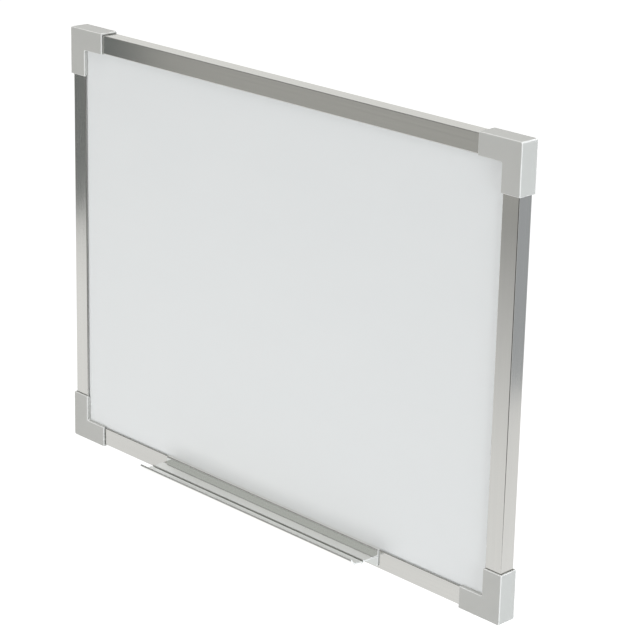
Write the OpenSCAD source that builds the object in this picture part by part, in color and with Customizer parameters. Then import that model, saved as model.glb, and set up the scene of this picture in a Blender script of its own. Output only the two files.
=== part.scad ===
// Wall-hung magnetic dry-wipe board: a lacquered steel panel in an extruded aluminium frame,
// with four moulded corner caps, a pen tray that hooks on the bottom rail and slides along it,
// and two steel hangers that slide in the groove behind the top rail.
//
// X runs to the right, -Y faces the reader and +Y the wall, Z is up, in millimetres.
// The origin is the middle of the hangers' screw pattern, on the wall's face.

/* [Board] */
// Width over the corner caps
board_w = 610; // [560:5:900]
// Height over the corner caps
board_h = 450; // [260:5:700]

/* [Panel] */
// Thickness of the lacquered steel writing sheet
sheet_t = 0.5; // [0.3:0.1:1]
// Thickness of the fibreboard core
core_t = 8.3; // [5:0.1:12]
// Thickness of the steel backing sheet
backing_t = 0.3; // [0.2:0.1:1]
// Free space round the panel's edge inside the rails
panel_edge_gap = 0.4; // [0.2:0.1:1]

/* [Rails] */
// Width of a rail's front face
rail_face = 19; // [16:0.1:26]
// Wall thickness of the extrusion
rail_wall = 1.4; // [1:0.1:1.8]
// Width of the hollow box along a rail's outer edge
box_w = 8; // [7:0.1:9]
// Width of the shelf and the rear flange, from the rail's outer edge
flange_w = 14; // [12:0.1:15]
// Thickness of the shelf that backs the panel
shelf_t = 1.2; // [0.8:0.1:2]
// Thickness of a rail's front lip
rail_lip_t = 1.6; // [0.8:0.1:1.8]
// Open space between the front lip and the writing sheet, where the tray hooks in
lip_gap = 0.8; // [0.8:0.1:2]
// Width of the rib under the lip that the writing sheet bears on
rib_w = 2; // [1:0.1:3]
// Width of the hanger groove, from the shelf to the rear flange
groove_w = 2.8; // [2.6:0.1:5]
// Radius along a rail's outer edges
rail_edge_r = 0.8; // [0.3:0.1:1.2]
// Distance from the board's corner to the square-cut end of a rail
rail_cut = 23; // [22:0.5:30]
// Clearance between the panel's faces and the rib and shelf
panel_fit = 0.1; // [0.05:0.05:0.2]

/* [Corner caps] */
// Length of each leg of a cap
cap_leg = 49.5; // [46:0.5:70]
// Thickness of a cap's outer side walls
cap_side_t = 1.8; // [1.5:0.1:3]
// Thickness of a cap's front wall
cap_front_t = 1.7; // [1.5:0.1:3]
// Thickness of a cap's back wall
cap_back_t = 0.9; // [0.8:0.1:2]
// Thickness of the skirt along a cap's inner edges
cap_skirt_t = 0.6; // [0.6:0.1:1.5]
// Clearance between a cap and the front and edges of the rails in it
cap_fit = 0.3; // [0.1:0.05:0.5]
// Clearance of a cap's back wall to the rails, and of its skirt to the sheet
cap_back_fit = 0.2; // [0.1:0.05:0.4]
// Radius along a cap's front edges
cap_edge_r = 1; // [0.5:0.1:1]
// Radius of a cap's outermost corner
cap_corner_r = 2; // [1.5:0.5:6]
// Radius in a cap's inner corner
cap_inner_r = 1.5; // [1:0.5:5]

/* [Corner keys] */
// Length of a key's arms, from the board's corner
key_leg = 45; // [42:0.5:60]
// Clearance between a key and the rail round it
key_fit = 0.2; // [0.1:0.05:0.3]

/* [Cap screws] */
// Diameter of a cap screw's thread
screw_d = 2.9; // [2.2:0.1:3.2]
// Length of a cap screw under its head
screw_len = 9.5; // [6:0.5:13]
// Diameter of a cap screw's pan head
head_d = 5.4; // [4.5:0.1:6]
// Height of a cap screw's pan head
head_h = 1.1; // [0.8:0.1:1.3]
// Clearance round the screws, on the diameter
screw_fit = 0.2; // [0.1:0.05:0.4]
// Distance from the board's corner to a cap screw, along the leg
screw_from_corner = 36; // [32:0.5:40]

/* [Wall pads] */
// Diameter of a rubber wall pad
pad_d = 13; // [8:0.5:16]
// Thickness of a rubber wall pad
pad_t = 1.5; // [1.4:0.1:4]

/* [Pen tray] */
// Length of the tray
tray_len = 304; // [150:1:320]
// Depth from the rail's face to the front of the tray's lip
tray_depth = 37.8; // [34:0.2:60]
// Thickness of the tray's upright web
web_t = 1.8; // [0.8:0.1:2]
// Thickness of the tray's floor
floor_t = 1.4; // [1.2:0.1:2]
// Height of the floor's upper face over the rail's lower edge
floor_h = 14.3; // [10:0.1:15]
// Height of the web's foot over the rail's lower edge
foot_h = 2.8; // [0:0.1:8]
// Distance from the rail's face to the groove in the floor
groove_from_rail = 22; // [17:0.2:23]
// Width of the groove in the floor
floor_groove_w = 1.4; // [0.8:0.1:1.6]
// Depth of the groove in the floor
floor_groove_depth = 1.1; // [0.5:0.1:1.1]
// Radius of the bead behind the groove
groove_bead_r = 0.9; // [0.3:0.1:1.2]
// Height of the rib under the groove
groove_rib_h = 0.7; // [0.5:0.1:1.2]
// Distance from the rail's face to where the floor starts to rise
rise_from_rail = 24.5; // [24:0.5:26]
// Rise of the floor up to the front lip
floor_rise = 1.2; // [0.5:0.1:3]
// Thickness of the front lip under its bead
lip_t = 1.2; // [0.8:0.1:2]
// Height of the middle of the front lip's bead over the floor
lip_h = 4.8; // [4:0.1:9]
// How far the front lip leans outward over its height
lip_lean = 3.8; // [0:0.2:5]
// Radius of the bead along the front lip
bead_r = 1.15; // [0.8:0.05:1.5]
// Thickness of the hook over the rail's lip
hook_t = 0.5; // [0.4:0.1:0.5]
// Radius over the hook's front edge, as a share of the web's thickness
hook_round = 0.9; // [0.5:0.05:0.9]
// How far the hook reaches down behind the rail's lip
hook_reach = 2.4; // [1:0.1:4]
// Clearance between the tray and the rail
tray_fit = 0.15; // [0.1:0.05:0.15]

/* [Hangers] */
// Distance between the two hangers at rest, one stud pitch of a framed wall
hanger_pitch = 406.4; // [300:0.1:420]
// Width of a hanger
hanger_w = 36; // [24:1:60]
// Thickness of a hanger's plate
hanger_t = 1.8; // [1.2:0.1:1.9]
// Length of a hanger's leg on the wall
wall_leg = 34; // [30:0.5:60]
// Drop from the rear flange to the step in a hanger's plate
hanger_drop = 3; // [1:0.5:6]
// Clearance over a hanger in the groove
hanger_fit = 0.3; // [0.2:0.05:0.5]
// Diameter of the wall screw holes
hole_d = 4.5; // [3:0.1:6]
// Vertical distance between a hanger's two holes
hole_pitch = 20; // [14:0.5:24]

/* [Hidden] */
$fn = 48;
// Depths are counted from the rails' front face, growing towards the wall.
sheet_y = rail_lip_t + lip_gap;
panel_t = sheet_t + core_t + backing_t;
shelf_y = sheet_y + panel_t + panel_fit;
groove_y = shelf_y + shelf_t;
rail_depth = groove_y + groove_w + rail_wall;
// Outer edge of the rails, in from the outer face of the caps
side = cap_side_t + cap_fit;
// Width of a cap's front: the rail's inner edge, its clearance and the skirt
cap_face = side + rail_face + cap_fit + cap_skirt_t;
cap_y0 = -cap_fit - cap_front_t;
cap_y1 = rail_depth + cap_back_fit + cap_back_t;
cap_depth = cap_y1 - cap_y0;
// The rails' front face in the part's frame, whose Y = 0 is the wall
front_y = -(cap_y1 + pad_t);
// Hanger levels, down from the board's top edge
hanger_top = side + box_w + hanger_fit;
step_top = side + flange_w + hanger_drop;
step_h = 2 * hanger_t;
// The board's top edge, over the middle of the hangers' screw holes
top_z = step_top + step_h + wall_leg / 2;
bottom_z = top_z - board_h;
mid_z = top_z - board_h / 2;
panel_in = side + box_w + panel_edge_gap;
over = 1; // how far a cutting shape runs past the face it cuts

// ---- Placing ----

// Extrudes a plan drawn in X and Z through the depths y0 to y1
module along_y(y0, y1) {
    translate([0, y1, 0])
        rotate([90, 0, 0])
            linear_extrude(y1 - y0)
                children();
}

// Puts a shape drawn for the bottom left corner into any corner
module at_corner(right, top) {
    translate([right ? board_w / 2 : -board_w / 2, front_y, top ? top_z : bottom_z])
        mirror([right ? 1 : 0, 0, 0])
            mirror([0, 0, top ? 1 : 0])
                children();
}

// Repeats a shape on both legs of a corner: swaps its X and Z
module on_both_legs() {
    children();
    mirror([1, 0, -1])
        children();
}

// ---- Panel ----

module panel_layer(y, t) {
    w = board_w - 2 * panel_in;
    h = board_h - 2 * panel_in;
    translate([-w / 2, front_y + y, mid_z - h / 2])
        cube([w, t, h]);
}

module writing_sheet() {
    color([0.89, 0.9, 0.9])
        panel_layer(sheet_y, sheet_t);
}

module core_board() {
    color([0.66, 0.55, 0.4])
        panel_layer(sheet_y + sheet_t, core_t);
}

module backing_sheet() {
    color([0.62, 0.64, 0.65])
        panel_layer(sheet_y + sheet_t + core_t, backing_t);
}

// ---- Rails ----

// A square with its two corners at x = 0 rounded
module edge_rounded_square(w, d, r) {
    translate([r, 0])
        square([w - r, d]);
    translate([0, r])
        square([w, d - 2 * r]);
    for (y = [r, d - r])
        translate([r, y])
            circle(r);
}

// Section of the extrusion: x from the outer edge inward, y from the front face to the wall
module rail_section() {
    difference() {
        edge_rounded_square(box_w, rail_depth, rail_edge_r);
        translate([rail_wall, rail_wall])
            square([box_w - 2 * rail_wall, rail_depth - 2 * rail_wall]);
    }
    // Front lip, with a round tip
    translate([box_w - over, 0])
        square([rail_face - box_w + over - rail_lip_t / 2, rail_lip_t]);
    translate([rail_face - rail_lip_t / 2, rail_lip_t / 2])
        circle(d = rail_lip_t);
    // Rib that the writing sheet bears on
    translate([box_w - over, 0])
        square([rib_w + over, sheet_y - panel_fit]);
    // Shelf behind the panel, and the rear flange behind the hanger groove
    translate([box_w - over, shelf_y])
        square([flange_w - box_w + over, shelf_t]);
    translate([box_w - over, rail_depth - rail_wall])
        square([flange_w - box_w + over, rail_wall]);
}

// A rail along Z, its outer edge at x = 0, with a cap screw's hole near each end
module rail(board_len) {
    hole_z = board_len / 2 - screw_from_corner;
    difference() {
        linear_extrude(board_len - 2 * rail_cut, center = true)
            rail_section();
        for (z = [-hole_z, hole_z])
            translate([box_w / 2, rail_depth - rail_wall / 2, z])
                rotate([90, 0, 0])
                    cylinder(h = rail_wall + 2 * over, d = screw_d + screw_fit, center = true);
    }
}

module side_rail() {
    color([0.75, 0.76, 0.76])
        translate([side - board_w / 2, front_y, mid_z])
            rail(board_h);
}

module left_rail() {
    side_rail();
}

module right_rail() {
    mirror([1, 0, 0])
        side_rail();
}

// A rail along X, its outer edge down
module level_rail() {
    color([0.75, 0.76, 0.76])
        rotate([0, -90, 0])
            rail(board_w);
}

module bottom_rail() {
    translate([0, front_y, bottom_z + side])
        level_rail();
}

module top_rail() {
    translate([0, front_y, top_z - side])
        mirror([0, 0, 1])
            level_rail();
}

// ---- Corner caps ----

// A rectangle with all four corners rounded
module rounded_square(w, d, r) {
    translate([r, 0])
        square([w - 2 * r, d]);
    translate([0, r])
        square([w, d - 2 * r]);
    for (x = [r, w - r], y = [r, d - r])
        translate([x, y])
            circle(r);
}

// A rectangle with its two corners at y = 0 rounded
module front_rounded_square(w, d, r) {
    translate([r, 0])
        square([w - 2 * r, d]);
    translate([0, r])
        square([w, d - r]);
    for (x = [r, w - r])
        translate([x, r])
            circle(r);
}

// One arm of a cap, along X, with its front edges and the corners of its plan rounded
module cap_arm() {
    intersection() {
        translate([cap_corner_r, cap_y0, 0])
            rotate([90, 0, 90])
                linear_extrude(cap_leg)
                    mirror([1, -1])
                        front_rounded_square(cap_face, cap_depth, cap_edge_r);
        translate([0, cap_y0, 0])
            linear_extrude(cap_face)
                front_rounded_square(cap_leg, cap_depth, cap_edge_r);
        along_y(cap_y0, cap_y1)
            rounded_square(cap_leg, cap_face, cap_edge_r);
    }
}

// Round block in the outermost corner, where the two arms meet
module cap_corner() {
    translate([cap_corner_r, cap_y0, cap_corner_r])
        rotate([-90, 0, 0])
            rotate_extrude()
                intersection() {
                    square([cap_corner_r, cap_depth]);
                    translate([-cap_corner_r, 0])
                        front_rounded_square(2 * cap_corner_r, cap_depth, cap_edge_r);
                }
}

// Fills the inner corner between the arms, down to a concave radius with a rounded front edge
module cap_fillet() {
    flare = cap_inner_r + cap_edge_r;
    difference() {
        along_y(cap_y0, cap_y1)
            translate([cap_face - cap_edge_r, cap_face - cap_edge_r])
                square(flare);
        translate([cap_face + cap_inner_r, cap_y0, cap_face + cap_inner_r])
            rotate([-90, 0, 0])
                rotate_extrude()
                    difference() {
                        translate([0, -over])
                            square([flare, cap_depth + 2 * over]);
                        translate([cap_inner_r, cap_edge_r])
                            square([flare, cap_depth + over]);
                        translate([flare, cap_edge_r])
                            circle(cap_edge_r);
                    }
    }
}

// L-shaped line along a cap's inner edges, of width t, turning through the inner radius
module cap_skirt_plan(t) {
    leg = cap_leg - cap_edge_r;
    turn = cap_face + cap_inner_r;
    for (swap = [0, 1])
        mirror([swap, -swap])
            translate([turn, cap_face - t])
                square([leg - turn, t]);
    intersection() {
        translate([cap_face - t, cap_face - t])
            square(cap_inner_r + t);
        translate([turn, turn])
            difference() {
                circle(cap_inner_r + t);
                circle(cap_inner_r);
            }
    }
}

module corner_cap() {
    difference() {
        union() {
            on_both_legs()
                cap_arm();
            cap_corner();
            cap_fillet();
        }
        // Room for the rails, the panel and the corner key
        translate([cap_side_t, -cap_fit, cap_side_t])
            cube([cap_leg, cap_fit + rail_depth + cap_back_fit, cap_leg]);
        on_both_legs()
            translate([screw_from_corner, cap_y1 - cap_back_t / 2, side + box_w / 2])
                rotate([90, 0, 0])
                    cylinder(h = cap_back_t + 2 * over, d = screw_d + screw_fit, center = true);
    }
    // Skirt that reaches back to the writing sheet
    along_y(cap_y0 + cap_edge_r, sheet_y - cap_back_fit)
        cap_skirt_plan(cap_skirt_t);
}

module cap(right, top) {
    color([0.76, 0.76, 0.75])
        at_corner(right, top)
            corner_cap();
}

module top_left_cap() {
    cap(false, true);
}

module top_right_cap() {
    cap(true, true);
}

module bottom_left_cap() {
    cap(false, false);
}

module bottom_right_cap() {
    cap(true, false);
}

// ---- Corner keys ----

// Plan of a key: a block in the cap's corner and an arm into each rail's box
module key_plan() {
    arm_u = side + rail_wall + key_fit;
    arm_t = box_w - 2 * rail_wall - 2 * key_fit;
    translate([side, side])
        square(box_w);
    translate([side, arm_u])
        square([key_leg - side, arm_t]);
    translate([arm_u, side])
        square([arm_t, key_leg - side]);
}

module corner_key() {
    difference() {
        along_y(rail_wall + key_fit, rail_depth - rail_wall - key_fit)
            key_plan();
        on_both_legs()
            translate([screw_from_corner, rail_depth, side + box_w / 2])
                rotate([90, 0, 0])
                    cylinder(h = screw_len + over, d = screw_d + screw_fit);
    }
}

module key(right, top) {
    color([0.2, 0.2, 0.21])
        at_corner(right, top)
            corner_key();
}

module top_left_key() {
    key(false, true);
}

module top_right_key() {
    key(true, true);
}

module bottom_left_key() {
    key(false, false);
}

module bottom_right_key() {
    key(true, false);
}

// ---- Wall pads ----

// A rubber disc on the back of a cap, with its rim rounded towards the wall
module wall_pad() {
    rim_r = pad_t / 3;
    translate([cap_face / 2, cap_y1, cap_face / 2])
        rotate([-90, 0, 0])
            rotate_extrude() {
                square([pad_d / 2 - rim_r, pad_t]);
                square([pad_d / 2, pad_t - rim_r]);
                translate([pad_d / 2 - rim_r, pad_t - rim_r])
                    circle(rim_r);
            }
}

module pad(right, top) {
    color([0.16, 0.16, 0.17])
        at_corner(right, top)
            wall_pad();
}

module top_left_pad() {
    pad(false, true);
}

module top_right_pad() {
    pad(true, true);
}

module bottom_left_pad() {
    pad(false, false);
}

module bottom_right_pad() {
    pad(true, false);
}

// ---- Cap screws ----

// A pan-head screw pointing to the front, its head's underside at the origin
module cap_screw() {
    slot_w = head_d / 8;
    slot_len = head_d * 0.55;
    rotate([90, 0, 0])
        cylinder(h = screw_len, d = screw_d);
    difference() {
        rotate([-90, 0, 0])
            rotate_extrude()
                intersection() {
                    square([head_d / 2, head_h]);
                    // The head's domed top
                    translate([0, head_h - head_d])
                        circle(head_d);
                }
        for (turn = [0, 90])
            translate([0, head_h, 0])
                rotate([0, turn, 0])
                    cube([slot_len, head_h, slot_w], center = true);
    }
}

module cap_screws() {
    color([0.7, 0.71, 0.73])
        for (right = [false, true], top = [false, true])
            at_corner(right, top)
                on_both_legs()
                    translate([screw_from_corner, cap_y1, side + box_w / 2])
                        cap_screw();
}

// ---- Pen tray ----

// Section of the tray: x is the depth from the rail's face, negative to the front,
// y is the height over the rail's lower edge
module tray_section() {
    web_x = -tray_fit - web_t;
    hook_x = rail_lip_t + tray_fit;
    hook_y = rail_face + tray_fit;
    hook_r = hook_round * web_t;
    // Web and hook over the rail's lip, with a rounded front edge
    difference() {
        union() {
            translate([web_x, foot_h])
                square([web_t, hook_y + hook_t - foot_h]);
            translate([web_x, hook_y])
                square([hook_x + hook_t - web_x, hook_t]);
        }
        translate([web_x, hook_y + hook_t - hook_r])
            difference() {
                translate([-over, 0])
                    square(hook_r + over);
                translate([hook_r, 0])
                    circle(hook_r);
            }
    }
    // The hook's leg behind the lip
    translate([hook_x, hook_y - hook_reach])
        square([hook_t, hook_reach + hook_t]);
    tray_floor(web_x + web_t / 2);
}

// Floor and front lip of the tray, from root_x in the web's middle to the front
module tray_floor(root_x) {
    bead_x = -tray_depth + bead_r;
    bead_y = floor_h + lip_h;
    lip_x = bead_x + lip_lean;
    under_y = floor_h - floor_t;
    difference() {
        union() {
            polygon([
                [root_x, floor_h],
                [-rise_from_rail, floor_h],
                [lip_x + lip_t / 2, floor_h + floor_rise],
                [bead_x + lip_t / 2, bead_y],
                [bead_x - lip_t / 2, bead_y],
                [lip_x - lip_t / 2, under_y + floor_rise],
                [-rise_from_rail, under_y],
                [root_x, under_y]
            ]);
            translate([-groove_from_rail - floor_groove_w, under_y - groove_rib_h])
                square([2 * floor_groove_w, groove_rib_h + floor_t / 2]);
            translate([-groove_from_rail + floor_groove_w / 2 + groove_bead_r, floor_h])
                circle(groove_bead_r);
        }
        translate([-groove_from_rail - floor_groove_w / 2, floor_h - floor_groove_depth])
            square([floor_groove_w, floor_groove_depth + groove_bead_r]);
    }
    translate([bead_x, bead_y])
        circle(bead_r);
}

module pen_tray() {
    color([0.78, 0.79, 0.79])
        translate([0, front_y, bottom_z + side])
            rotate([90, 0, 90])
                linear_extrude(tray_len, center = true)
                    tray_section();
}

// ---- Hangers ----

// Section of a hanger's plate: x is the depth from the rail's face, y the height
module hanger_section() {
    groove_mid = groove_y + groove_w / 2;
    wall_x = -front_y - hanger_t;
    upper_x = groove_mid - hanger_t / 2;
    step_y = top_z - step_top;
    // Leg in the rail's groove, step back to the wall, and leg on the wall
    polygon([
        [upper_x, step_y - hanger_t],
        [upper_x, top_z - hanger_top],
        [upper_x + hanger_t, top_z - hanger_top],
        [upper_x + hanger_t, step_y],
        [wall_x + hanger_t, step_y - step_h + hanger_t],
        [wall_x + hanger_t, step_y - step_h - wall_leg],
        [wall_x, step_y - step_h - wall_leg],
        [wall_x, step_y - step_h]
    ]);
}

module hanger() {
    color([0.68, 0.7, 0.73])
        difference() {
            translate([0, front_y, 0])
                rotate([90, 0, 90])
                    linear_extrude(hanger_w, center = true)
                        hanger_section();
            for (z = [-hole_pitch / 2, hole_pitch / 2])
                translate([0, 0, z])
                    rotate([90, 0, 0])
                        cylinder(h = 4 * hanger_t, d = hole_d, center = true);
        }
}

module left_hanger() {
    translate([-hanger_pitch / 2, 0, 0])
        hanger();
}

module right_hanger() {
    translate([hanger_pitch / 2, 0, 0])
        hanger();
}

// ---- Nodes ----

writing_sheet();
core_board();
backing_sheet();
top_rail();
bottom_rail();
left_rail();
right_rail();
top_left_cap();
top_right_cap();
bottom_left_cap();
bottom_right_cap();
top_left_key();
top_right_key();
bottom_left_key();
bottom_right_key();
top_left_pad();
top_right_pad();
bottom_left_pad();
bottom_right_pad();
cap_screws();
pen_tray();
left_hanger();
right_hanger();
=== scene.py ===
"""Looks for a wall-hung magnetic whiteboard with a sliding pen tray. Everything is in metres, in the part's frame."""

from math import cos, radians, sin

import bpy
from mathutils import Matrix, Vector


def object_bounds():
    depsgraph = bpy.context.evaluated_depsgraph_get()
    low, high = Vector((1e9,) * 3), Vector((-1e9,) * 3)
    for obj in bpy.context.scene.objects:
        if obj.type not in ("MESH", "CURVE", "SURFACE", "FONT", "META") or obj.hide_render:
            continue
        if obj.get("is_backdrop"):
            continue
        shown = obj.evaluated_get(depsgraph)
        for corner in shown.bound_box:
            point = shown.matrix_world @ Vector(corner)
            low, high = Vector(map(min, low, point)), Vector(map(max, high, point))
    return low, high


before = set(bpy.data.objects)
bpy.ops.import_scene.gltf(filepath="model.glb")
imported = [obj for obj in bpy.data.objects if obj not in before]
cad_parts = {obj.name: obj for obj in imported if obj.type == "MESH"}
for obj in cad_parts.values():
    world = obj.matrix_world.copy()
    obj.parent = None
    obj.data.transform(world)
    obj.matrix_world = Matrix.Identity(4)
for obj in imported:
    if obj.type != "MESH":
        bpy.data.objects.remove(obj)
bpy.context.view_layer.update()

# ---- Camera ----
# The photograph is 640 pixels square. These come from a camera solved from the edges of the caps and rails.
PHOTO_SIDE = 640
FOCAL_PIXELS = 2238.2
CENTRE_ROW = 220
SENSOR_MM = 36
CAMERA_AT = (1.4815, -1.4269, 0.51317)
CAMERA_TURN = (73.3437, -1.2504, 45.6012)

# ---- Floor and world ----
FLOOR_Z = -1.5
FLOOR_HALF = 14.0
FLOOR_COLOUR = (0.53, 0.53, 0.53)
WHITE = (1, 1, 1)
# Strength of the world for the light on the object, and for the camera and the metal
WORLD_LIGHT = 0.48
WORLD_SEEN = 1.0
# Glow of the floor that brings it up to white for the camera, and for the metal
FLOOR_LIFT = 0.8
FLOOR_LIFT_MIRRORED = 0.62
# For the metal the glow fades in from the front card's Y to this Y, along a curve of this power
FLOOR_FADE_END = -2.3
FLOOR_FADE_POWER = 0.8
# To the left the floor is brighter still for the metal: from X, to X, times as bright there
FLOOR_LEFT_BOOST = (-2.2, -3.4, 1.3)

# ---- Cards ----
# Grey cards that the rails mirror. They stand out of the camera's view.
# Each has its middle X and Y, the way it faces, its width, its lowest and highest Z, and its radiance.
# Three of them, one above the other, also take part in the light on the object.
FRONT_PLACE = ((-3.6, -3.95), (0, 1), 5.0)
LIT_CARDS = {
    "front_card": (*FRONT_PLACE, FLOOR_Z, -0.95, (0.5, 0.5, 0.48)),
    "dark_card": (*FRONT_PLACE, -0.95, 0.7, (0.12, 0.12, 0.12)),
    "upper_card": (*FRONT_PLACE, 0.7, 3.4, (0.62, 0.63, 0.62)),
}
# The others are only mirrored.
MIRRORED_CARDS = {
    "left_card": ((-3.85, -2.78), (1, 0), 0.6, FLOOR_Z, -0.2, (0.16, 0.175, 0.175)),
    "back_card": ((2.55, 2.6), (-1, -1), 3.0, FLOOR_Z, -0.3, (0.46, 0.48, 0.505)),
    "high_front_card": ((-3.6, -3.9), (0, 1), 5.0, 2.6, 6.0, (0.18, 0.18, 0.18)),
    "high_left_card": ((-4.4, -0.75), (1, 0), 3.7, 1.6, 7.0, (0.14, 0.14, 0.14)),
    "edge_card": ((1.9, -1.9), (-1, 1), 4.6, FLOOR_Z, 0.1, (0.05, 0.05, 0.05)),
    "sky_card": ((-3.2, 3.0), (0, -1), 7.0, FLOOR_Z, 2.5, (0.88, 0.88, 0.86)),
}

# ---- Lamps ----
# Bearing from the front to the right and height above the object's middle in degrees, distance, side, watts, colour
LAMPS = {
    "right_box": (86, 3, 2.6, 1.2, 52, (0.93, 0.98, 1.03)),
    "top_box": (10, 88, 2.6, 1.8, 35, WHITE),
    "front_box": (-10, -9, 1.5, 1.2, 12.5, WHITE),
}

# ---- Nodes ----
LEVEL_RAILS = ["top_rail", "bottom_rail"]
UPRIGHT_RAILS = ["left_rail", "right_rail"]
CORNERS = ["top_left", "top_right", "bottom_left", "bottom_right"]
SIDES = ["left", "right"]
X, Y, Z = range(3)

# ---- Materials ----
# The range that most of a noise texture's values lie in
NOISE_SPAN = (0.3, 0.7)
UNIT_SPAN = (0, 1)
# The absolute part of a normal along an axis, from a face that is turned away to one that counts as facing along it
FACE_SPAN = (0.9, 0.95)
# The largest part of a normal, from a rounded edge to a flat face
EDGE_SPAN = (0.9, 0.99)
EVEN = (1, 1, 1)

# Noise is given as its scale, detail and roughness; a bump as its depth and strength.
LACQUER_DULL, LACQUER_CLEAN = (0.735, 0.75, 0.75), (0.752, 0.765, 0.762)
LACQUER_ROUGHNESS = (0.3, 0.4)
WIPING_STRETCH = (3, 3, 9)
WIPING_NOISE = (2.5, 4, 0.6)
PEEL_NOISE = (260, 2, 0.5)
PEEL_BUMP = (0.00002, 0.5)

RAIL_LIGHT, RAIL_DARK, RAIL_ROUGHNESS = (0.66, 0.655, 0.625), (0.635, 0.63, 0.605), 0.12
TRAY_LIGHT, TRAY_DARK, TRAY_ROUGHNESS = (0.92, 0.91, 0.88), (0.89, 0.88, 0.85), 0.08
# The second colour is painted shade: a darker colour for the tray's faces towards the reader and away
TRAY_SAWN, TRAY_FRONT_SHADE = (0.72, 0.72, 0.7), (0.68, 0.7, 0.68)
LINE_STRETCH = 0.004
LINE_NOISE = (2600, 2, 0.6)
BAND_NOISE = (420, 3, 0.55)
LINE_ROUGHNESS = (-0.02, 0.03)
LINE_BUMP = (0.000004, 0.2)
SAWN_ROUGHNESS = 0.5
ANISOTROPY = 0.4

# Moulded plastics: light and dark colour, roughness, cells of the grain in a metre
CAP_PLASTIC = ((0.468, 0.468, 0.446), (0.448, 0.448, 0.426), 0.42, 1800)
# Painted highlight: the lighter colour of the caps' rounded edges
CAP_EDGE_HIGHLIGHT = (0.68, 0.68, 0.66)
KEY_PLASTIC = ((0.03, 0.03, 0.032), (0.02, 0.02, 0.022), 0.5, 1500)
PAD_RUBBER = ((0.022, 0.022, 0.024), (0.014, 0.014, 0.015), 0.75, 900)
CLOUD_NOISE = (24, 3, 0.5)
GRAIN_DETAIL = (2, 0.6)
GRAIN_ROUGHNESS = (-0.06, 0.08)
GRAIN_BUMP = (0.00003, 0.5)
PLASTIC_SPECULAR = 0.6

# Plated steels: light and dark colour, roughness, size of a zinc crystal
BACKING_STEEL = ((0.46, 0.48, 0.5), (0.36, 0.38, 0.4), 0.42, 0.009)
SCREW_STEEL = ((0.62, 0.63, 0.65), (0.5, 0.51, 0.53), 0.28, 0.0008)
HANGER_STEEL = ((0.6, 0.62, 0.65), (0.46, 0.48, 0.51), 0.3, 0.004)
CRYSTAL_ROUGHNESS = 0.06
SCRATCH_STRETCH = (0.08, 1, 1)
SCRATCH_NOISE = (1500, 3, 0.6)
SCRATCH_BUMP = (0.00002, 0.4)

FIBRE_DARK, FIBRE_LIGHT = (0.2, 0.125, 0.065), (0.4, 0.28, 0.16)
FIBRE_STRETCH = (0.2, 3, 0.2)
FIBRE_NOISE = (900, 4, 0.7)
FIBRE_BUMP = (0.0001, 0.8)
FIBRE_ROUGHNESS = 0.9


# ---- Building blocks for node trees. A value is a number, a colour or another node's output. ----


def feed(tree, socket, value):
    """Sets a socket to a number or a colour, or links another node's output to it."""
    if isinstance(value, bpy.types.NodeSocket):
        tree.links.new(value, socket)
    elif isinstance(value, tuple):
        socket.default_value = (*value, 1)
    else:
        socket.default_value = value


def empty_material(name):
    """A new material with only an output node; returns the material, its tree and the output's surface socket."""
    material = bpy.data.materials.new(name)
    material.use_nodes = True
    tree = material.node_tree
    tree.nodes.clear()
    return material, tree, tree.nodes.new("ShaderNodeOutputMaterial").inputs["Surface"]


def principled_material(name):
    """A new material with only a Principled shader; returns the material, its tree and the shader."""
    material, tree, surface = empty_material(name)
    shader = tree.nodes.new("ShaderNodeBsdfPrincipled")
    tree.links.new(shader.outputs["BSDF"], surface)
    return material, tree, shader


def stretched_coordinates(tree, scale):
    """The surface point in the part's frame, multiplied by scale along X, Y and Z."""
    point = tree.nodes.new("ShaderNodeTexCoord")
    mapping = tree.nodes.new("ShaderNodeMapping")
    mapping.inputs["Scale"].default_value = scale
    tree.links.new(point.outputs["Object"], mapping.inputs["Vector"])
    return mapping.outputs["Vector"]


def noise(tree, vector, scale, detail, roughness):
    """Output from 0 to 1 of a noise texture."""
    texture = tree.nodes.new("ShaderNodeTexNoise")
    texture.inputs["Scale"].default_value = scale
    texture.inputs["Detail"].default_value = detail
    texture.inputs["Roughness"].default_value = roughness
    tree.links.new(vector, texture.inputs["Vector"])
    return texture.outputs["Fac"]


def spread(tree, value, low, high, span=NOISE_SPAN):
    """Maps a value in a span onto the range from low to high."""
    mapped = tree.nodes.new("ShaderNodeMapRange")
    for name, end in (("From Min", span[0]), ("From Max", span[1]), ("To Min", low), ("To Max", high)):
        feed(tree, mapped.inputs[name], end)
    tree.links.new(value, mapped.inputs["Value"])
    return mapped.outputs["Result"]


def around(tree, value, middle, steps, span=NOISE_SPAN):
    """Maps a value in a span onto a range given as two steps from its middle."""
    return spread(tree, value, middle + steps[0], middle + steps[1], span)


def two_colours(tree, value, first, second):
    """A colour between two, chosen by a value from 0 to 1."""
    mix = tree.nodes.new("ShaderNodeMix")
    mix.data_type = "RGBA"
    feed(tree, mix.inputs[6], first)
    feed(tree, mix.inputs[7], second)
    tree.links.new(value, mix.inputs["Factor"])
    return mix.outputs[2]


def calculate(tree, operation, *values):
    """Output of a math node."""
    node = tree.nodes.new("ShaderNodeMath")
    node.operation = operation
    for socket, value in zip(node.inputs, values):
        feed(tree, socket, value)
    return node.outputs["Value"]


def bump(tree, shader, height, depth, strength):
    """Gives the shader's normal a bump."""
    node = tree.nodes.new("ShaderNodeBump")
    node.inputs["Strength"].default_value = strength
    node.inputs["Distance"].default_value = depth
    tree.links.new(height, node.inputs["Height"])
    tree.links.new(node.outputs["Normal"], shader.inputs["Normal"])


def split(tree, vector):
    """The X, Y and Z outputs of a vector."""
    parts = tree.nodes.new("ShaderNodeSeparateXYZ")
    tree.links.new(vector, parts.inputs["Vector"])
    return list(parts.outputs)


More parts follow.
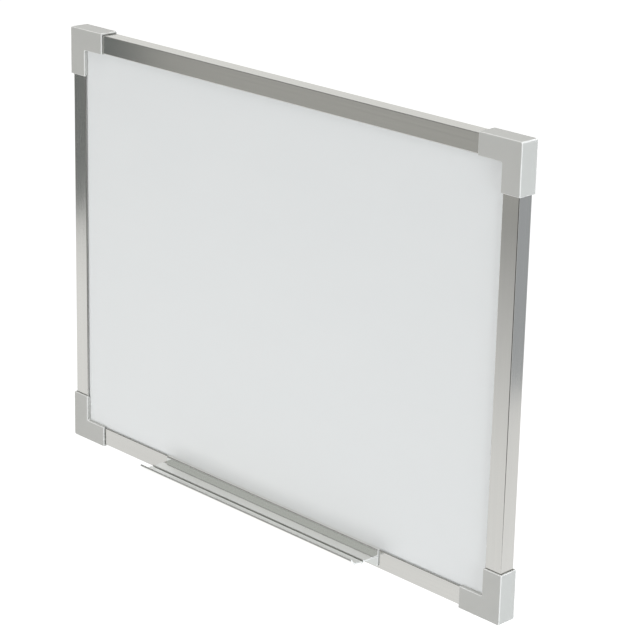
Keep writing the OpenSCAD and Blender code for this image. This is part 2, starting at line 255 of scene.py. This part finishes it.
def normal_sizes(tree, kind):
    """How far the surface's normal of that kind points along X, Y and Z, to either side."""
    surface = tree.nodes.new("ShaderNodeNewGeometry")
    return [calculate(tree, "ABSOLUTE", part) for part in split(tree, surface.outputs[kind])]


def facing(tree, axis):
    """1 where the surface faces along axis number axis, to either side, else 0."""
    return spread(tree, normal_sizes(tree, "True Normal")[axis], *UNIT_SPAN, FACE_SPAN)


def edges(tree):
    """1 on the rounded edges of a piece, 0 on its faces along the axes."""
    x, y, z = normal_sizes(tree, "Normal")
    largest = calculate(tree, "MAXIMUM", calculate(tree, "MAXIMUM", x, y), z)
    return spread(tree, largest, 1, 0, EDGE_SPAN)


# ---- The materials ----


def lacquer(name):
    """White dry-wipe lacquer, with a very slight orange peel and traces of wiping."""
    material, tree, shader = principled_material(name)
    wiping = noise(tree, stretched_coordinates(tree, WIPING_STRETCH), *WIPING_NOISE)
    feed(tree, shader.inputs["Base Color"], two_colours(tree, wiping, LACQUER_DULL, LACQUER_CLEAN))
    feed(tree, shader.inputs["Roughness"], spread(tree, wiping, *LACQUER_ROUGHNESS))
    bump(tree, shader, noise(tree, stretched_coordinates(tree, EVEN), *PEEL_NOISE), *PEEL_BUMP)
    return material


def extrusion(name, along, light, dark, rough, sawn=None, upright=None):
    """Satin anodised aluminium with fine lines along axis number along.

    sawn is the colour of its cut ends; upright is a painted shade, a darker colour for its faces towards the reader
    and away.
    """
    material, tree, shader = principled_material(name)
    stretch = [LINE_STRETCH if axis == along else 1 for axis in (X, Y, Z)]
    lines = noise(tree, stretched_coordinates(tree, stretch), *LINE_NOISE)
    bands = noise(tree, stretched_coordinates(tree, stretch), *BAND_NOISE)
    tint = two_colours(tree, spread(tree, bands, *UNIT_SPAN), dark, light)
    gloss = around(tree, lines, rough, LINE_ROUGHNESS)
    shader.inputs["Metallic"].default_value = 1
    # Painted shade: faces towards the reader and away take a darker colour
    if upright is not None:
        tint = two_colours(tree, facing(tree, Y), tint, upright)
    if sawn is not None:
        cut = facing(tree, along)
        tint = two_colours(tree, cut, tint, sawn)
        gloss = spread(tree, cut, gloss, SAWN_ROUGHNESS, UNIT_SPAN)
        feed(tree, shader.inputs["Metallic"], spread(tree, cut, 1, 0, UNIT_SPAN))
    feed(tree, shader.inputs["Base Color"], tint)
    feed(tree, shader.inputs["Roughness"], gloss)
    shader.inputs["Anisotropic"].default_value = ANISOTROPY
    across = tree.nodes.new("ShaderNodeCombineXYZ")
    for axis in (X, Y, Z):
        across.inputs[axis].default_value = 0 if axis == along else 1
    tree.links.new(across.outputs["Vector"], shader.inputs["Tangent"])
    bump(tree, shader, lines, *LINE_BUMP)
    return material


def moulded_plastic(name, light, dark, rough, grain, edge_highlight=None):
    """Matt moulded plastic with a fine spark-eroded grain; the last argument, if given, is a painted highlight: a
    lighter colour for its rounded edges.
    """
    material, tree, shader = principled_material(name)
    point = stretched_coordinates(tree, EVEN)
    cloud = noise(tree, point, *CLOUD_NOISE)
    tint = two_colours(tree, spread(tree, cloud, *UNIT_SPAN), dark, light)
    # A painted highlight: the rounded edges take a lighter colour
    if edge_highlight is not None:
        tint = two_colours(tree, edges(tree), tint, edge_highlight)
    feed(tree, shader.inputs["Base Color"], tint)
    speckle = noise(tree, point, grain, *GRAIN_DETAIL)
    feed(tree, shader.inputs["Roughness"], around(tree, speckle, rough, GRAIN_ROUGHNESS))
    shader.inputs["Specular IOR Level"].default_value = PLASTIC_SPECULAR
    bump(tree, shader, speckle, *GRAIN_BUMP)
    return material


def plated_steel(name, light, dark, rough, cell):
    """Zinc-plated sheet, with crystals of the size of cell and fine scratches."""
    material, tree, shader = principled_material(name)
    crystals = tree.nodes.new("ShaderNodeTexVoronoi")
    crystals.inputs["Scale"].default_value = 1 / cell
    crystals.inputs["Randomness"].default_value = 1
    tree.links.new(stretched_coordinates(tree, EVEN), crystals.inputs["Vector"])
    value = tree.nodes.new("ShaderNodeSeparateColor")
    tree.links.new(crystals.outputs["Color"], value.inputs["Color"])
    feed(tree, shader.inputs["Base Color"], two_colours(tree, value.outputs["Red"], dark, light))
    steps = (-CRYSTAL_ROUGHNESS, CRYSTAL_ROUGHNESS)
    feed(tree, shader.inputs["Roughness"], around(tree, value.outputs["Green"], rough, steps, UNIT_SPAN))
    shader.inputs["Metallic"].default_value = 1
    scratches = noise(tree, stretched_coordinates(tree, SCRATCH_STRETCH), *SCRATCH_NOISE)
    bump(tree, shader, scratches, *SCRATCH_BUMP)
    return material


def fibreboard(name):
    """Pressed wood fibre, in fine layers parallel to the faces."""
    material, tree, shader = principled_material(name)
    layers = noise(tree, stretched_coordinates(tree, FIBRE_STRETCH), *FIBRE_NOISE)
    tint = two_colours(tree, spread(tree, layers, *UNIT_SPAN), FIBRE_DARK, FIBRE_LIGHT)
    feed(tree, shader.inputs["Base Color"], tint)
    shader.inputs["Roughness"].default_value = FIBRE_ROUGHNESS
    bump(tree, shader, layers, *FIBRE_BUMP)
    return material


def dress(node, material):
    """Gives a CAD node one material in all its slots."""
    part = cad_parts[node]
    for slot in part.material_slots:
        slot.material = material


def dress_all():
    dress("writing_sheet", lacquer("writing_lacquer"))
    dress("core_board", fibreboard("core_fibreboard"))
    dress("backing_sheet", plated_steel("backing_steel", *BACKING_STEEL))
    level = extrusion("rail_aluminium_level", X, RAIL_LIGHT, RAIL_DARK, RAIL_ROUGHNESS)
    upright = extrusion("rail_aluminium_upright", Z, RAIL_LIGHT, RAIL_DARK, RAIL_ROUGHNESS)
    for node in LEVEL_RAILS:
        dress(node, level)
    for node in UPRIGHT_RAILS:
        dress(node, upright)
    tray = extrusion("tray_aluminium", X, TRAY_LIGHT, TRAY_DARK, TRAY_ROUGHNESS, TRAY_SAWN, TRAY_FRONT_SHADE)
    dress("pen_tray", tray)
    cap = moulded_plastic("cap_plastic", *CAP_PLASTIC, CAP_EDGE_HIGHLIGHT)
    key = moulded_plastic("key_plastic", *KEY_PLASTIC)
    pad = moulded_plastic("pad_rubber", *PAD_RUBBER)
    for corner in CORNERS:
        dress(corner + "_cap", cap)
        dress(corner + "_key", key)
        dress(corner + "_pad", pad)
    dress("cap_screws", plated_steel("screw_steel", *SCREW_STEEL))
    hanger = plated_steel("hanger_steel", *HANGER_STEEL)
    for side in SIDES:
        dress(side + "_hanger", hanger)


# ---- Set and light ----


def stage_plane(name, centre, width, height, normal, material):
    """A flat stage piece facing along normal."""
    bpy.ops.mesh.primitive_plane_add(size=1)
    plane = bpy.context.object
    plane.name = name
    plane.scale = (width, height, 1)
    plane.rotation_euler = Vector(normal).to_track_quat("Z", "Y").to_euler()
    plane.location = centre
    plane.data.materials.append(material)
    plane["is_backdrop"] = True
    return plane


def ray_kinds(tree):
    """Two outputs: 1 for a camera ray, and 1 for a ray that has been mirrored or has passed through something."""
    path = tree.nodes.new("ShaderNodeLightPath")
    mirrored = calculate(tree, "MAXIMUM", path.outputs["Is Glossy Ray"], path.outputs["Is Transmission Ray"])
    return path.outputs["Is Camera Ray"], mirrored


def glowing(tree, colour, strength):
    """An emission shader's output."""
    glow = tree.nodes.new("ShaderNodeEmission")
    feed(tree, glow.inputs["Color"], colour)
    feed(tree, glow.inputs["Strength"], strength)
    return glow.outputs["Emission"]


def floor_material():
    """White floor that keeps shadows; the camera and the metal see it as white as the background.

    For the metal that white fades out towards the front card.
    """
    material, tree, surface = empty_material("floor_white")
    paper = tree.nodes.new("ShaderNodeBsdfDiffuse")
    feed(tree, paper.inputs["Color"], FLOOR_COLOUR)
    place = tree.nodes.new("ShaderNodeNewGeometry")
    x, y, _ = split(tree, place.outputs["Position"])
    front_y = FRONT_PLACE[0][Y]
    fade = calculate(tree, "POWER", spread(tree, y, *UNIT_SPAN, (front_y, FLOOR_FADE_END)), FLOOR_FADE_POWER)
    boost_from, boost_to, boost = FLOOR_LEFT_BOOST
    side = spread(tree, x, FLOOR_LIFT_MIRRORED, FLOOR_LIFT_MIRRORED * boost, (boost_from, boost_to))
    camera_ray, mirrored_ray = ray_kinds(tree)
    glare = calculate(tree, "MULTIPLY", mirrored_ray, calculate(tree, "MULTIPLY", fade, side))
    lift = calculate(tree, "MULTIPLY_ADD", camera_ray, FLOOR_LIFT, glare)
    both = tree.nodes.new("ShaderNodeAddShader")
    tree.links.new(paper.outputs["BSDF"], both.inputs[0])
    tree.links.new(glowing(tree, WHITE, lift), both.inputs[1])
    tree.links.new(both.outputs["Shader"], surface)
    return material


def card_material(name, radiance):
    """Even grey, as bright as radiance."""
    material, tree, surface = empty_material(name)
    tree.links.new(glowing(tree, radiance, 1), surface)
    return material


def standing_card(name, place, only_mirrored):
    """A card that the camera doesn't see; one that is only mirrored neither lights nor shades the object."""
    (x, y), (way_x, way_y), width, low, high, radiance = place
    centre = (x, y, (low + high) / 2)
    plane = stage_plane(name, centre, width, high - low, (way_x, way_y, 0), card_material(name, radiance))
    plane.visible_camera = False
    plane.visible_shadow = not only_mirrored
    plane.visible_diffuse = not only_mirrored


def build_stage():
    floor_side = 2 * FLOOR_HALF
    stage_plane("floor", (0, 0, FLOOR_Z), floor_side, floor_side, (0, 0, 1), floor_material())
    for name, place in LIT_CARDS.items():
        standing_card(name, place, False)
    for name, place in MIRRORED_CARDS.items():
        standing_card(name, place, True)


def build_world():
    """White behind the object and in its reflections, and an even soft light on it."""
    world = bpy.data.worlds.new("studio")
    bpy.context.scene.world = world
    world.use_nodes = True
    tree = world.node_tree
    background = tree.nodes["Background"]
    feed(tree, background.inputs["Color"], WHITE)
    seen = calculate(tree, "MAXIMUM", *ray_kinds(tree))
    feed(tree, background.inputs["Strength"], spread(tree, seen, WORLD_LIGHT, WORLD_SEEN, UNIT_SPAN))


def soft_box(name, bearing, height, distance, size, watts, colour):
    """A square area lamp turned to the object's middle, seen neither by the camera nor in the metal."""
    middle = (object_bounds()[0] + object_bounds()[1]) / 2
    level = cos(radians(height))
    way = Vector((sin(radians(bearing)) * level, -cos(radians(bearing)) * level, sin(radians(height))))
    data = bpy.data.lights.new(name, "AREA")
    data.shape = "SQUARE"
    data.size = size
    data.energy = watts
    data.color = colour
    lamp = bpy.data.objects.new(name, data)
    lamp.location = middle + way * distance
    lamp.rotation_euler = way.to_track_quat("Z", "Y").to_euler()
    lamp.visible_camera = False
    lamp.visible_glossy = False
    bpy.context.scene.collection.objects.link(lamp)


def build_lights():
    for name, settings in LAMPS.items():
        soft_box(name, *settings)


def build_camera():
    data = bpy.data.cameras.new("camera")
    data.sensor_width = SENSOR_MM
    data.lens = FOCAL_PIXELS / PHOTO_SIDE * SENSOR_MM
    data.shift_y = (CENTRE_ROW - PHOTO_SIDE / 2) / PHOTO_SIDE
    camera = bpy.data.objects.new("camera", data)
    camera.location = CAMERA_AT
    camera.rotation_euler = [radians(turn) for turn in CAMERA_TURN]
    bpy.context.scene.collection.objects.link(camera)
    bpy.context.scene.camera = camera


build_camera()
dress_all()
build_stage()
build_world()
build_lights()
bpy.context.scene.view_settings.view_transform = "Standard"
